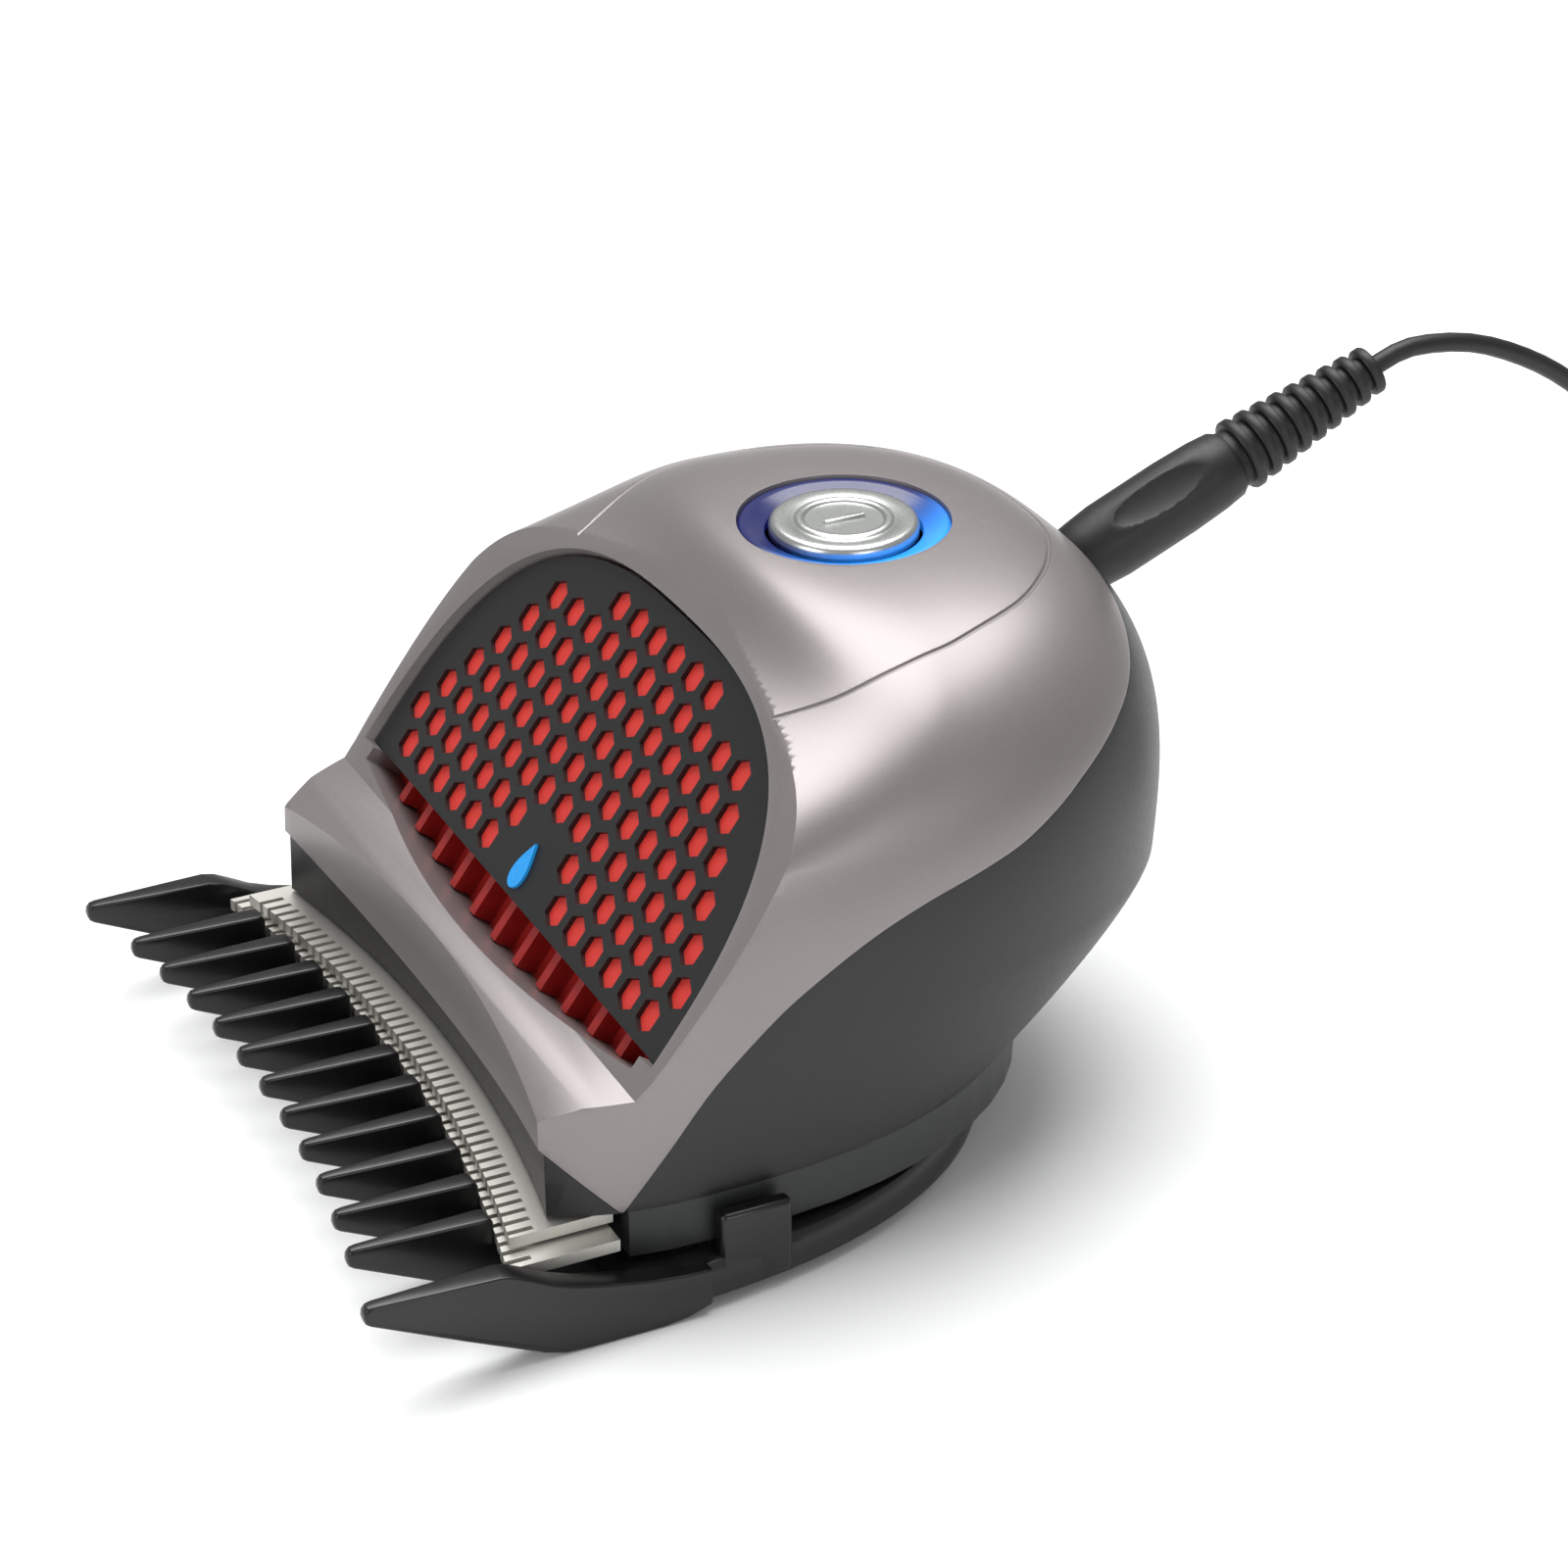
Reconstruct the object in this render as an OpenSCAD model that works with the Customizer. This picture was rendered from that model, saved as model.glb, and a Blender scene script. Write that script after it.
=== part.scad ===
// Palm-size hair clipper with a guard comb and its charging lead.
// +X is the clipper's width, the blade looks along -Y, +Z is up, and z = 0 is the sole of the comb.

/* [Shell] */
// Overall width of the shell at its waist
shell_w = 77.2; // [74:0.2:84]
// Height of the crown above the comb's sole
shell_top = 56.4; // [55:0.2:62]
// Y position of the rearmost point of the shell
shell_rear = 47.25; // [45:0.25:56]
// Wall thickness of the shell
wall = 2; // [1.6:0.1:2.4]

/* [Grille] */
// Half width of the hexagon grille at its foot
grille_w = 35; // [28:0.5:35.5]
// Height of the grille measured up its slope
grille_h = 31.7; // [24:0.1:32]
// Distance between neighbouring hexagons
hex_pitch = 4.2; // [3.6:0.1:6]
// Width of one hexagon across its flats
hex_flat = 3; // [2:0.1:3.4]

/* [Blades] */
// Width of the fixed blade
blade_w = 74; // [60:1:74]
// Distance between neighbouring blade teeth
blade_pitch = 1.5; // [1.2:0.1:3]
// Gap cut between two blade teeth
blade_gap = 0.6; // [0.4:0.1:0.9]

/* [Guard comb] */
// Number of comb teeth between the two outer ones
inner_teeth = 11; // [7:2:11]
// Distance between neighbouring inner comb teeth
tooth_pitch = 6.05; // [5:0.05:6.2]
// Thickness of an inner comb tooth
tooth_t = 2.2; // [1.6:0.1:2.6]
// Reach of the comb teeth in front of the blade
tooth_reach = 13.7; // [10:0.1:18]

/* [Button] */
// Diameter of the power button
button_d = 14.5; // [11:0.1:14.8]
// Outer diameter of the light ring around it
ring_d = 20.5; // [17:0.1:21.5]
// Travel of the power button
button_travel = 0.5; // [0.3:0.1:0.6]

/* [Drive and cell] */
// Diameter of the motor can
motor_d = 20; // [14:0.5:21]
// Offset of the crank pin from the motor's axis
crank_r = 2; // [1:0.1:2.4]
// Diameter of the rechargeable cell
cell_d = 14; // [10:0.5:14]
// Length of the rechargeable cell
cell_l = 46; // [35:1:48]

/* [Charging lead] */
// Diameter of the lead
cord_d = 2; // [1.6:0.1:2.4]
// Slope of the plug above the horizontal
plug_slope = 23.5; // [15:0.5:30]
// Length of the moulded plug and its strain relief
plug_l = 36.5; // [30:0.5:36.5]

/* [Hidden] */
$fn = 48;
eps = 0.01;
fit_gap = 0.05;
far = 90;

// Colours
silver = "#8f898c";
charcoal = "#333335";
band_grey = "#3d3f40";
jet = "#222222";
steel = "#b8b6b0";
red = "#c8322c";

// Shell outline: a dome of horizontal superellipse rings
waist_z = 26;
sill_z = 10.5;
sill_half = shell_w / 2 - 1.6;
sill_rear = shell_rear - 14.5;
crown_y = 18.75;
crown_power = 3;
plan_power = 2.4;
ring_points = 56;
centre_low = -12.25;
front_lip = 18;
front_reach = 84;
front_limit = 60;
front_fall = 14.6;
rear_fall = 0.8;
dome_steps = 13;
skirt_steps = 5;

// Front face of the shell, a plane that leans back
face_y = -16.95;
face_z = 24.1;
face_slope = 53;
face_proud = 0.8;
face_wall = 3.6;

// Blade stack heights and the arc that they share
arc_r = 165;
floor_z = 7.1;
band_z = 5.5;
blade_t = 1.2;
blade_air = 0.3;
moving_z = floor_z + blade_t + blade_air;
tooth_depth = 2.4;
fixed_tip = -28.45;
moving_tip = -27.75;
moving_half = 34.5;
tongue_half = 28;
tongue_end = -11.25;
blade_back = -21.65;
moving_back = -21.25;
bumper_tip = -24.35;
cover_tip = -23.85;

// Base frame
base_front = -20.55;
post_r = 2.2;
screw_r = 0.9;
head_r = 2;
blade_posts = [[-20, -15], [20, -15]];
housing_posts = [[-30, -7], [30, -7], [-20, 19], [20, 19]];
mount_posts = [[-13, -1], [13, -1], [-13, 17], [13, 17]];
post_top = 10.1;
mount_z = 12.4;
mount_t = 1.6;

// Drive
motor_y = 8;
motor_z = mount_z + mount_t;
motor_h = 22;
shaft_r = 1;
disc_r = 5;
disc_z = 10.6;
pin_r = 1.5;
pin_gap = 0.1;
lever_half = 6;
lever_end = 15;
bar_half = 16;

// Cell
cell_y = 29.75;
cell_z = 24.5;
tab_t = 0.3;

// Button, ring and board
button_y = 19;
ring_top = 56;
ring_floor = 54.2;
button_top = 56.4;
button_under = 54.4;
stem_r = 1.6;
switch_top = 50.4;
stem_end = 51.2;
board_z = 46.6;
board_t = 1.2;
board_top = board_z + board_t;
board_half = 14;
board_front = 9;
board_rear = 33;
board_posts = [[-12, 11.5], [12, 11.5], [-12, 30], [12, 30]];

// Plug and jack
jack_y = 44.55;
jack_z = 46.4;
jack_r = 4.4;
plug_r = 4;
plug_nose = -1.6;
barrel_r = 1.7;
relief_from = 19;
relief_ribs = 9;

// Split between the silver upper shell and the dark lower shell, as y and z
split_line = [
    [-21, 10.3], [-17, 16.2], [-12.5, 22.6], [-7, 28], [-2.5, 31.2], [3, 34.2], [8.5, 36.3],
    [14.5, 37.9], [19, 39.2], [23.5, 41.2], [27, 43], [32, 45.3], [36, 47.2], [39, 49.4],
    [43, 53.5], [47, 58], [60, 70]
];

// Route of the lead's middle line from the plug to the coil, and from the coil to its far end
cord_route = [
    [0, 78.05, 61], [0, 82.5, 62.4], [0, 89.6, 61.6], [0, 96.5, 58.8], [0, 102.5, 55], [0, 108, 50],
    [0, 113, 43], [-0.5, 117, 35], [-1.5, 120.5, 26.5], [-3, 124, 18], [-5, 128.5, 10],
    [-7.5, 134.5, 4.2], [-10, 141.5, 1.6], [-11.6, 149, 1], [-12, 157.7, 1]
];
tail_route = [[12, 157.7, 1], [12, 155, 1], [12.4, 150, 1.4], [13.2, 145, 2.4], [14, 139.5, 3]];
cord_sides = 8;
cord_steps = 3;
coil_y = 168;
coil_mid = 12;
coil_half = 3;
coil_h = 8;
usb_x = 14;
usb_y = 139.5;
usb_z = 3;

function rise(z) = (z - waist_z) / (shell_top - waist_z);
function crown(z) = z <= waist_z ? 1 : pow(max(1 - pow(rise(z), crown_power), 0), 1 / crown_power);
function skirt(z) = z >= waist_z ? 0 : min((waist_z - z) / (waist_z - sill_z), 1);
function ring_half(z) = z >= waist_z
    ? shell_w / 2 * crown(z)
    : shell_w / 2 - (shell_w / 2 - sill_half) * pow(skirt(z), 1.6);
function ring_rear(z) = z >= waist_z
    ? crown_y + (shell_rear - crown_y) * pow(crown(z), rear_fall)
    : shell_rear - (shell_rear - sill_rear) * pow(skirt(z), 1.25);
function ring_front(z) =
    crown_y - min(front_lip * sqrt(crown(z)) + front_reach * pow(crown(z), front_fall), front_limit);
function ring_centre(z) = centre_low + (crown_y - centre_low) * max(z - sill_z, 0) / (shell_top - sill_z);
function signed_pow(v, p) = sign(v) * pow(abs(v), p);
function ring_at(z, inset) = [
    for (i = [0 : ring_points - 1])
        let (a = 360 * i / ring_points, c = cos(a), s = sin(a), mid = ring_centre(z),
             half = max(ring_half(z) - inset, 0.4),
             reach = s > 0 ? max(ring_rear(z) - inset - mid, 0.4) : max(mid - ring_front(z) - inset, 0.4))
        [half * signed_pow(c, 2 / plan_power), mid + reach * signed_pow(s, 2 / plan_power)]
];
// Heights are spaced so that the dome keeps even steps round its shoulder
dome_levels = concat(
    [for (i = [0 : skirt_steps - 1]) sill_z + (waist_z - sill_z) * i / skirt_steps],
    [for (i = [0 : dome_steps - 1]) waist_z + (shell_top - waist_z) * pow(sin(90 * i / dome_steps), 0.8)]
);

// Solid through a stack of rings, each a list of points at its height
module loft(rings) {
    n = len(rings[0]);
    last = len(rings) - 1;
    points = [for (r = rings) for (p = r) p];
    faces = concat(
        [[for (i = [0 : n - 1]) i]],
        [[for (i = [0 : n - 1]) last * n + n - 1 - i]],
        [for (k = [0 : last - 1]) for (i = [0 : n - 1]) let (j = (i + 1) % n)
            each [[k * n + i, (k + 1) * n + j, k * n + j], [k * n + i, (k + 1) * n + i, (k + 1) * n + j]]]
    );
    polyhedron(points, faces, convexity = 6);
}
module dome(inset = 0, from = sill_z, down = 0) {
    loft(concat(
        down > 0 ? [[for (p = ring_at(from, inset)) [p.x, p.y, from - down]]] : [],
        [for (z = dome_levels) let (level = z <= waist_z ? z : waist_z + rise(z) * (shell_top - inset - waist_z))
            [for (p = ring_at(z, inset)) [p.x, p.y, level]]]
    ));
}

// Side outline swept over the full width
module across(points) {
    rotate([90, 0, 90]) translate([0, 0, -far / 2]) linear_extrude(far) polygon(points);
}
function face_point(s, out) = [
    face_y + s * cos(face_slope) - out * sin(face_slope),
    face_z + s * sin(face_slope) + out * cos(face_slope)
];
module upper_outline() {
    across(concat(
        [[-21, 10.3], [-28.55, 18.1], [-28.1, 19.7], [-21.85, 22.4]],
        [face_point(-2, face_proud), face_point(45, face_proud), [far, 80]],
        [for (i = [len(split_line) - 1 : -1 : 1]) split_line[i]]
    ));
}
module lower_outline() {
    across(concat(split_line, [[60, sill_z], [-20.9, sill_z]]));
}
module cavity_outline() {
    across([[-18.5, 9], [-18.85, 15.5], face_point(45, -face_wall), [far, 60], [far, 9]]);
}
module cavity() {
    intersection() {
        dome(wall, sill_z, 1.4);
        cavity_outline();
    }
}
module arc_cut(tip, from, to) {
    translate([0, tip - arc_r, from]) cylinder(r = arc_r, h = to - from, $fn = 360);
}
module on_face() {
    translate([0, face_y, face_z]) rotate([face_slope, 0, 0]) children();
}
module on_plug() {
    translate([0, jack_y, jack_z]) rotate([plug_slope - 90, 0, 0]) children();
}
// Round-topped outline of the grille, and of all that follows it
module grille_shape(grow = 0) {
    steps = 36;
    power = 2.9;
    polygon([for (i = [0 : steps]) let (a = 180 * i / steps)
        [(grille_w + grow) * signed_pow(cos(a), 2 / power), (grille_h + grow) * pow(abs(sin(a)), 2 / power)]]);
}
module slot_shape(grow = 0) {
    steps = 16;
    half = grille_w - 2;
    polygon(concat(
        [[half, grow], [-half, grow]],
        [for (i = [0 : steps]) let (x = -half + 2 * half * i / steps) [x, -1.6 - 3.2 * (1 - x * x / half / half)]]
    ));
}

module upper_shell() {
    color(silver) difference() {
        union() {
            difference() {
                intersection() {
                    dome();
                    upper_outline();
                }
                cavity();
            }
            // Collar that carries the light ring, with its gussets
            intersection() {
                dome(eps * 5);
                union() {
                    translate([0, button_y, 52.6]) cylinder(d = ring_d + 3.4, h = 6);
                    for (a = [22.5 : 45 : 359]) translate([0, button_y, 0]) rotate(a) hull() {
                        translate([ring_d / 2 + 1, 0, 52.8]) cylinder(r = 0.5, h = 3, $fn = 12);
                        translate([ring_d / 2 + 5, 0, 53.6]) cylinder(r = 0.5, h = 2.2, $fn = 12);
                    }
                    for (p = board_posts) translate([p.x, p.y, board_top]) cylinder(r = post_r, h = 8.4, $fn = 24);
                }
            }
        }
        arc_cut(bumper_tip, 9, 22);
        // Window for the grille, the ledge behind it and the slot below it
        on_face() {
            translate([0, 0, -2.4]) linear_extrude(8) grille_shape(0.15);
            translate([0, 0, -8]) linear_extrude(12) scale(0.9) grille_shape();
            translate([0, 0, -8]) linear_extrude(14) slot_shape(0.4);
        }
        translate([0, button_y, 50]) cylinder(d = ring_d - 3, h = 9, $fn = 96);
        translate([0, button_y, ring_floor]) cylinder(d = ring_d + 0.1, h = 6, $fn = 96);
        translate([0, button_y, ring_top]) cylinder(d = ring_d + 1.2, h = 6, $fn = 96);
        on_plug() translate([0, 0, -16]) cylinder(r = jack_r + fit_gap, h = 30, $fn = 96);
    }
}

module lower_shell() {
    color(charcoal) difference() {
        union() {
            difference() {
                intersection() {
                    dome();
                    lower_outline();
                }
                cavity();
            }
            intersection() {
                dome(eps * 5);
                lower_outline();
                union() {
                    on_plug() translate([0, 0, -10]) cylinder(r = jack_r + 1.8, h = 14);
                    for (p = housing_posts) {
                        translate([p.x, p.y, sill_z]) cylinder(r = post_r + 0.4, h = 5.5, $fn = 24);
                        hull() {
                            translate([p.x, p.y, sill_z]) cylinder(r = 0.7, h = 5, $fn = 12);
                            translate([p.x * 1.5, p.y * 1.2, sill_z]) cylinder(r = 0.7, h = 5, $fn = 12);
                        }
                    }
                    // Upright ribs inside the rear wall
                    for (x = [-12, -4, 4, 12]) hull() {
                        translate([x, shell_rear - 13, 13]) cylinder(r = 0.6, h = 1, $fn = 12);
                        translate([x, shell_rear - 2.6, 26]) cylinder(r = 0.6, h = 6, $fn = 12);
                        translate([x, shell_rear - 8, 15]) cylinder(r = 0.6, h = 8, $fn = 12);
                    }
                }
            }
        }
        on_plug() translate([0, 0, -16]) cylinder(r = jack_r + fit_gap, h = 30, $fn = 96);
        translate([0, cell_y, cell_z]) rotate([0, 90, 0]) cylinder(d = cell_d + 0.4, h = cell_l + 2, center = true);
        for (p = housing_posts) translate([p.x, p.y, sill_z - 1]) cylinder(r = screw_r + fit_gap, h = 6, $fn = 24);
    }
}

// Outline of the base and of what sits on it
module base_shape(inset = 0) {
    intersection() {
        polygon(ring_at(sill_z, inset));
        translate([-far / 2, base_front + inset]) square([far, far]);
    }
}
module base_frame() {
    color(band_grey) difference() {
        union() {
            difference() {
                translate([0, 0, band_z]) linear_extrude(sill_z - band_z) base_shape(0.2);
                translate([0, 0, floor_z]) linear_extrude(sill_z) base_shape(2.4);
                translate([-tongue_half - 0.6, base_front - 1, floor_z]) cube([2 * tongue_half + 1.2, 6, 6]);
            }
            for (p = blade_posts) translate([p.x, p.y, floor_z - eps]) cylinder(r = post_r, h = post_top - floor_z + eps);
            for (p = housing_posts) translate([p.x, p.y, floor_z - eps]) cylinder(r = post_r + 0.4, h = sill_z - floor_z + eps);
            for (p = mount_posts) translate([p.x, p.y, floor_z - eps]) cylinder(r = post_r, h = mount_z - floor_z + eps);
        }
        for (p = blade_posts) translate([p.x, p.y, band_z - 1]) cylinder(r = screw_r, h = 9);
        for (p = housing_posts) translate([p.x, p.y, band_z - 1]) {
            cylinder(r = screw_r, h = 9);
            cylinder(r = head_r, h = 2.2);
        }
        for (p = mount_posts) translate([p.x, p.y, floor_z + 1]) cylinder(r = screw_r, h = 9);
    }
}

module blade_cover() {
    color(jet) difference() {
        intersection() {
            dome(0.3, sill_z, 1);
            across([[-21.1, 10.2], [-28.4, 17.75], [-28, 10.2]]);
        }
        arc_cut(cover_tip, 9, 22);
    }
}

module hex_grille() {
    row = hex_pitch * sqrt(3) / 2;
    color(jet) on_face() translate([0, 0, -0.75]) linear_extrude(0.55) difference() {
        grille_shape();
        for (j = [0 : floor(grille_h / row)]) for (i = [-9 : 9])
            let (x = (i + (j % 2) / 2) * hex_pitch, s = 2.6 + j * row, edge = 3)
            if (pow(abs(x) / (grille_w - edge), 2.9) + pow(s / (grille_h - edge), 2.9) < 1 && norm([x, s]) > 7.5)
                translate([x, s]) rotate(90) circle(d = hex_flat / cos(30), $fn = 6);
    }
}
module grille_backing() {
    color(red) on_face() translate([0, 0, -2.4]) linear_extrude(1.65) grille_shape(-0.4);
}
module rinse_insert() {
    half = grille_w - 2.4;
    ribs = floor((half - 1) / 5.4);
    color("#a01c1c") on_face() {
        translate([-half - 1.2, -6.5, -4.75]) cube([2 * half + 2.4, 8, 1]);
        for (i = [-ribs : ribs]) translate([i * 5.4 - 0.6, -1.6 - 3 * (1 - pow(i * 5.4 / half, 2)), -3.76])
            cube([1.2, 1.4 + 3 * (1 - pow(i * 5.4 / half, 2)), 2.2]);
    }
}
module drop_badge() {
    color("#1488d0") on_face() translate([0, 3.2, -0.2]) {
        cylinder(r = 1.6, h = 0.3);
        linear_extrude(0.3) polygon([[-1.45, 0.7], [1.45, 0.7], [0.9, 3.6]]);
    }
}

module light_ring() {
    color("#1e4fc0") translate([0, button_y, ring_floor]) difference() {
        cylinder(d = ring_d, h = ring_top - ring_floor);
        translate([0, 0, -1]) cylinder(d = button_d + 0.7, h = 4);
    }
}
module power_button() {
    color("#c8cbc8") translate([0, button_y, 0]) {
        translate([0, 0, button_under]) cylinder(d = button_d, h = button_top - button_under);
        translate([0, 0, button_top - eps]) difference() {
            cylinder(r = 4.65, h = 0.2);
            translate([0, 0, -1]) cylinder(r = 3.9, h = 2);
            translate([-0.9, -6, -1]) cube([1.8, 6, 2]);
        }
        translate([-0.4, -2.15, button_top - eps]) cube([0.8, 4.3, 0.2]);
    }
}
module switch_plunger() {
    color("#e4e0d4") translate([0, button_y, stem_end]) cylinder(r = stem_r, h = button_under - stem_end);
}
module tact_switch() {
    color("#2a2c30") translate([-3, button_y - 3, board_top]) cube([6, 6, switch_top - board_top]);
}
module circuit_board() {
    color("#1f6a3a") translate([-board_half, board_front, board_z]) cube([2 * board_half, board_rear - board_front, board_t]);
}
module ring_leds() {
    color("#dfe8ff") for (a = [45 : 90 : 359]) translate([0, button_y, board_top]) rotate(a)
        translate([ring_d / 2 - 2.2, -0.8, 0]) cube([1.6, 1.6, 0.8]);
}
module board_parts() {
    color("#17181a") {
        translate([-4, board_rear - 4.5, board_top]) cube([6, 4, 1.4]);
        translate([4.5, board_rear - 4, board_top]) cube([3.2, 2.5, 1.2]);
        translate([-3, board_front + 10, board_z - 2.2]) cube([4, 4, 2.2]);
    }
}
module charge_jack() {
    color("#1b1b1d") on_plug() difference() {
        translate([0, 0, -14]) cylinder(r = jack_r, h = 14 + plug_nose - 0.4);
        translate([0, 0, -12.4]) cylinder(r = barrel_r + 0.1, h = 14);
    }
}

module battery_cell() {
    color("#2d8f5a") translate([0, cell_y, cell_z]) rotate([0, 90, 0]) cylinder(d = cell_d, h = cell_l, center = true);
}
module battery_tabs() {
    color(steel) for (x = [-cell_l / 2 - tab_t, cell_l / 2]) translate([x, cell_y, cell_z]) {
        rotate([0, 90, 0]) cylinder(d = cell_d - 5, h = tab_t);
        translate([0, -2, 0]) cube([tab_t, 4, 9]);
    }
}
module battery_cradle() {
    color("#4a4c50") for (x = [-15, 11]) difference() {
        translate([x, 0, 0]) rotate([90, 0, 90]) linear_extrude(4)
            polygon([[20.5, floor_z], [25.6, floor_z], [28, 12], [30.5, 16.5], [30.5, 22], [20.5, 22]]);
        translate([x - 1, cell_y, cell_z]) rotate([0, 90, 0]) cylinder(d = cell_d, h = 6);
    }
}

module motor_can() {
    color("#a9adb0") translate([0, motor_y, motor_z + 1.5]) difference() {
        cylinder(d = motor_d, h = motor_h - 1.5);
        translate([0, 0, -1]) cylinder(r = shaft_r + 0.1, h = motor_h);
    }
}
module motor_end_cap() {
    color("#e2ddd0") translate([0, motor_y, motor_z]) difference() {
        cylinder(d = motor_d - 0.6, h = 1.5);
        translate([0, 0, -1]) cylinder(r = shaft_r + 0.1, h = 4);
    }
}
module motor_shaft() {
    color(steel) translate([0, motor_y, disc_z + 0.4]) cylinder(r = shaft_r, h = motor_z + motor_h - disc_z - 1.5);
}
module eccentric() {
    color("#d8d4c4") translate([0, motor_y, 0]) {
        difference() {
            translate([0, 0, disc_z]) cylinder(r = disc_r, h = 1.6);
            translate([0, 0, disc_z + 0.4]) cylinder(r = shaft_r, h = 3);
        }
        translate([0, -crank_r, floor_z + 0.8]) cylinder(r = pin_r, h = disc_z - floor_z - 0.7);
    }
}
module motor_mount() {
    color("#55585c") translate([0, 0, mount_z]) difference() {
        translate([-15.2, -3.2, 0]) cube([30.4, 22.4, mount_t]);
        translate([0, motor_y, -1]) cylinder(r = disc_r + 0.6, h = 4);
        for (p = mount_posts) translate([p.x, p.y, -1]) cylinder(r = screw_r, h = 4);
    }
}
// One pan-head screw with its head on top
module screw(head, shank) {
    translate([0, 0, -shank]) cylinder(r = screw_r, h = shank + eps);
    difference() {
        cylinder(r = head_r - 0.15, h = head);
        for (a = [0, 90]) rotate(a) translate([-1.1, -0.25, head - 0.5]) cube([2.2, 0.5, 1]);
    }
}
module motor_screws() {
    color(steel) for (p = mount_posts) translate([p.x, p.y, motor_z]) screw(1.2, 5);
}
module housing_screws() {
    color(steel) for (p = housing_posts) translate([p.x, p.y, band_z + 1.2]) mirror([0, 0, 1]) screw(1, 8);
}
module blade_screws() {
    color(steel) for (p = blade_posts) translate([p.x, p.y, post_top + 0.3]) screw(1, 3.5);
}

module drive_lever() {
    color("#ece8dc") translate([0, 0, moving_z]) linear_extrude(blade_t) difference() {
        union() {
            translate([-bar_half, moving_back]) square([2 * bar_half, 3]);
            translate([-lever_half, moving_back]) square([2 * lever_half, lever_end - moving_back]);
        }
        for (x = [-1, 1]) translate([x * 3.2, -8]) circle(r = 1.2);
        hull() for (s = [-1, 1]) translate([0, motor_y + s * (crank_r + 0.3)]) circle(r = pin_r + pin_gap, $fn = 64);
    }
}
// Blade outline with a concave toothed front edge
module blade_shape(tip, half, back, shift) {
    count = floor((half - 1) / blade_pitch);
    difference() {
        translate([-half, -40]) square([2 * half, 40 + back]);
        translate([0, tip - arc_r]) circle(r = arc_r, $fn = 360);
        for (i = [-count : count]) let (x = (i + shift) * blade_pitch)
            translate([x - blade_gap / 2, tip - x * x / 2 / arc_r - 1]) square([blade_gap, tooth_depth + 1]);
    }
}
module moving_blade() {
    color("#c6c4bd") translate([0, 0, moving_z]) linear_extrude(blade_t) blade_shape(moving_tip, moving_half, moving_back, 0.5);
}
module fixed_blade() {
    color(steel) translate([0, 0, floor_z]) linear_extrude(blade_t) difference() {
        union() {
            blade_shape(fixed_tip, blade_w / 2, blade_back, 0);
            translate([-tongue_half, blade_back - 1]) square([2 * tongue_half, tongue_end - blade_back + 1]);
        }
        for (p = blade_posts) translate(p) circle(r = post_r);
    }
}
module tension_spring() {
    color("#d0cec8") translate([0, 0, post_top]) linear_extrude(0.3) difference() {
        union() {
            translate([-22.6, -17.2]) square([45.2, 4.4]);
            translate([-5, -14]) square([10, 5]);
        }
        for (p = blade_posts) translate(p) circle(r = screw_r);
    }
}

// Side profile of one comb tooth: it runs under the blade and hooks up in front of it
module tooth(thick, shift = 0) {
    notch = -33.55;
    rotate([90, 0, 90]) translate([0, 0, -thick / 2]) linear_extrude(thick)
        polygon([[notch - tooth_reach + 0.5, 8.1], [notch - tooth_reach, 9.2], [notch - tooth_reach + 0.6, 10.2], [notch, 10.1],
            [notch + 0.4, 6.8], [-21.25 - shift, 6.8], [-21.25 - shift, 5], [-16.5 - shift, 5], [-16.5 - shift, 0], [-29.7, 0]]);
}
function sag(x) = (39 * 39 - x * x) / 2 / arc_r;
module rail_shape(inset) {
    steps = 48;
    mid = -21.25;
    half = 40 - inset;
    reach = 49.5 - inset;
    polygon(concat([[half, mid], [half, mid], [-half, mid]],
        [for (i = [steps - 1 : -1 : 1]) let (a = 180 * i / steps)
            [half * signed_pow(cos(a), 2 / plan_power), mid + reach * pow(sin(a), 2 / plan_power)]]));
}
module guard_comb() {
    outer = (inner_teeth - 1) / 2 * tooth_pitch + 8.9;
    color("#1d1d1f") {
        for (i = [0 : inner_teeth - 1]) let (x = (i - (inner_teeth - 1) / 2) * tooth_pitch)
            translate([x, sag(x), 0]) tooth(tooth_t, sag(x));
        for (s = [-1, 1]) translate([s * outer, 0, 0]) tooth(2.6);
        translate([-outer - 1.3, -21.25, 0]) cube([2 * outer + 2.6, 5.2, 5]);
        translate([0, 0, 1]) linear_extrude(4) difference() {
            rail_shape(0);
            rail_shape(3.6);
        }
        translate([-12, 25.2, 0]) cube([24, 2.6, 4]);
        // Clips that hold the sides of the base
        for (s = [-1, 1]) translate([s * 38.3 - 0.9, -12.5, 1.5]) cube([1.8, 7.2, 7.8]);
    }
}

module plug_body() {
    step = (plug_l - relief_from) / relief_ribs;
    function core(z) = plug_r - 0.9 - (plug_r - 2.6) * max(z - relief_from, 0) / (plug_l - relief_from);
    color("#242424") on_plug() rotate_extrude() polygon(concat(
        [[0, plug_nose], [plug_r - 0.5, plug_nose], [plug_r, 3], [plug_r, 12], [plug_r - 0.3, relief_from - 1]],
        [for (i = [0 : relief_ribs - 1]) let (z = relief_from + i * step, c = core(z))
            each [[c, z], [c, z + step * 0.4], [c + 0.7, z + step * 0.45], [c + 0.7, z + step * 0.95]]],
        [[cord_d / 2 + 0.5, plug_l], [0, plug_l]]
    ));
}
module plug_barrel() {
    color("#c9c2a8") on_plug() translate([0, 0, plug_nose - 9.5]) cylinder(r = barrel_r, h = 9.5);
}

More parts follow.
